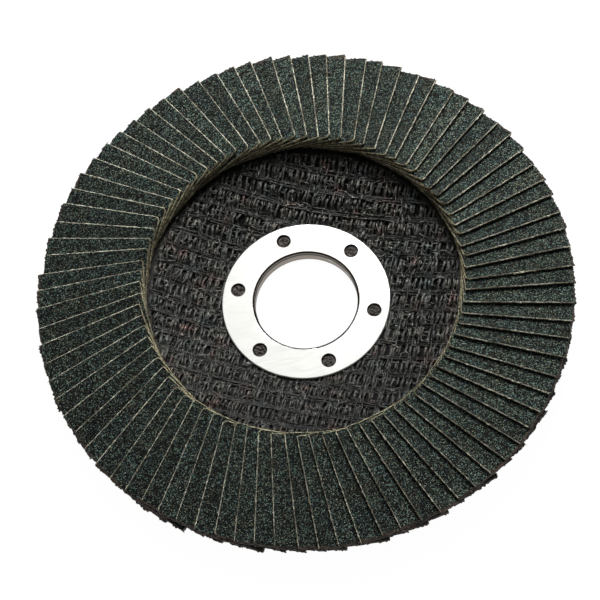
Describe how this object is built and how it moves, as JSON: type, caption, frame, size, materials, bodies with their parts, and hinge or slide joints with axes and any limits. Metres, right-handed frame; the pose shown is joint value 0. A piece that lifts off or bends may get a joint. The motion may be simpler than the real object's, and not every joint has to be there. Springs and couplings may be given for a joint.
{
  "type": "abrasive flap disc",
  "caption": "Conical abrasive flap disc for an angle grinder: overlapping coated-cloth flaps on a depressed-centre glass-fibre plate with a steel hub ring.",
  "frame": {"origin": "centre of the bore in the rear face of the hub, where the grinder's flange seats", "axes": "+Z along the bore axis, towards the working side of the flaps; +X and +Y lie in the rear face of the hub"},
  "size_m": [0.115, 0.115, 0.0135],
  "materials": {
    "hub_steel": "bright tinplated steel, satin",
    "phenolic_resin": "dark cured resin with glass fibre",
    "glass_fibre": "coarse woven glass mesh in black phenolic resin, semi-gloss",
    "flap_adhesive": "cured epoxy adhesive, olive brown",
    "abrasive_cloth": "resin-bonded grit on cotton cloth, dark green-grey, matt with fine sparkle"
  },
  "bodies": {
    "root": {"front_ring": "hub_steel", "rear_ring": "hub_steel", "resin_plugs": "phenolic_resin", "fibre_layer_front": "glass_fibre", "fibre_layer_middle": "glass_fibre", "fibre_layer_rear": "glass_fibre", "flap_glue": "flap_adhesive", "flaps_01": "abrasive_cloth", "flaps_02": "abrasive_cloth", "flaps_03": "abrasive_cloth", "flaps_04": "abrasive_cloth", "flaps_05": "abrasive_cloth", "flaps_06": "abrasive_cloth", "flaps_07": "abrasive_cloth", "flaps_08": "abrasive_cloth", "flaps_09": "abrasive_cloth", "flaps_10": "abrasive_cloth", "flaps_11": "abrasive_cloth", "flaps_12": "abrasive_cloth", "flaps_13": "abrasive_cloth", "flaps_14": "abrasive_cloth", "flaps_15": "abrasive_cloth", "flaps_16": "abrasive_cloth", "flaps_17": "abrasive_cloth", "flaps_18": "abrasive_cloth", "flaps_19": "abrasive_cloth", "flaps_20": "abrasive_cloth", "flaps_21": "abrasive_cloth", "flaps_22": "abrasive_cloth", "flaps_23": "abrasive_cloth", "flaps_24": "abrasive_cloth", "flaps_25": "abrasive_cloth", "flaps_26": "abrasive_cloth", "flaps_27": "abrasive_cloth", "flaps_28": "abrasive_cloth", "flaps_29": "abrasive_cloth", "flaps_30": "abrasive_cloth", "flaps_31": "abrasive_cloth", "flaps_32": "abrasive_cloth", "flaps_33": "abrasive_cloth", "flaps_34": "abrasive_cloth", "flaps_35": "abrasive_cloth", "flaps_36": "abrasive_cloth", "flaps_37": "abrasive_cloth", "flaps_38": "abrasive_cloth", "flaps_39": "abrasive_cloth", "flaps_40": "abrasive_cloth", "flaps_41": "abrasive_cloth", "flaps_42": "abrasive_cloth"}
  },
  "joints": []
}
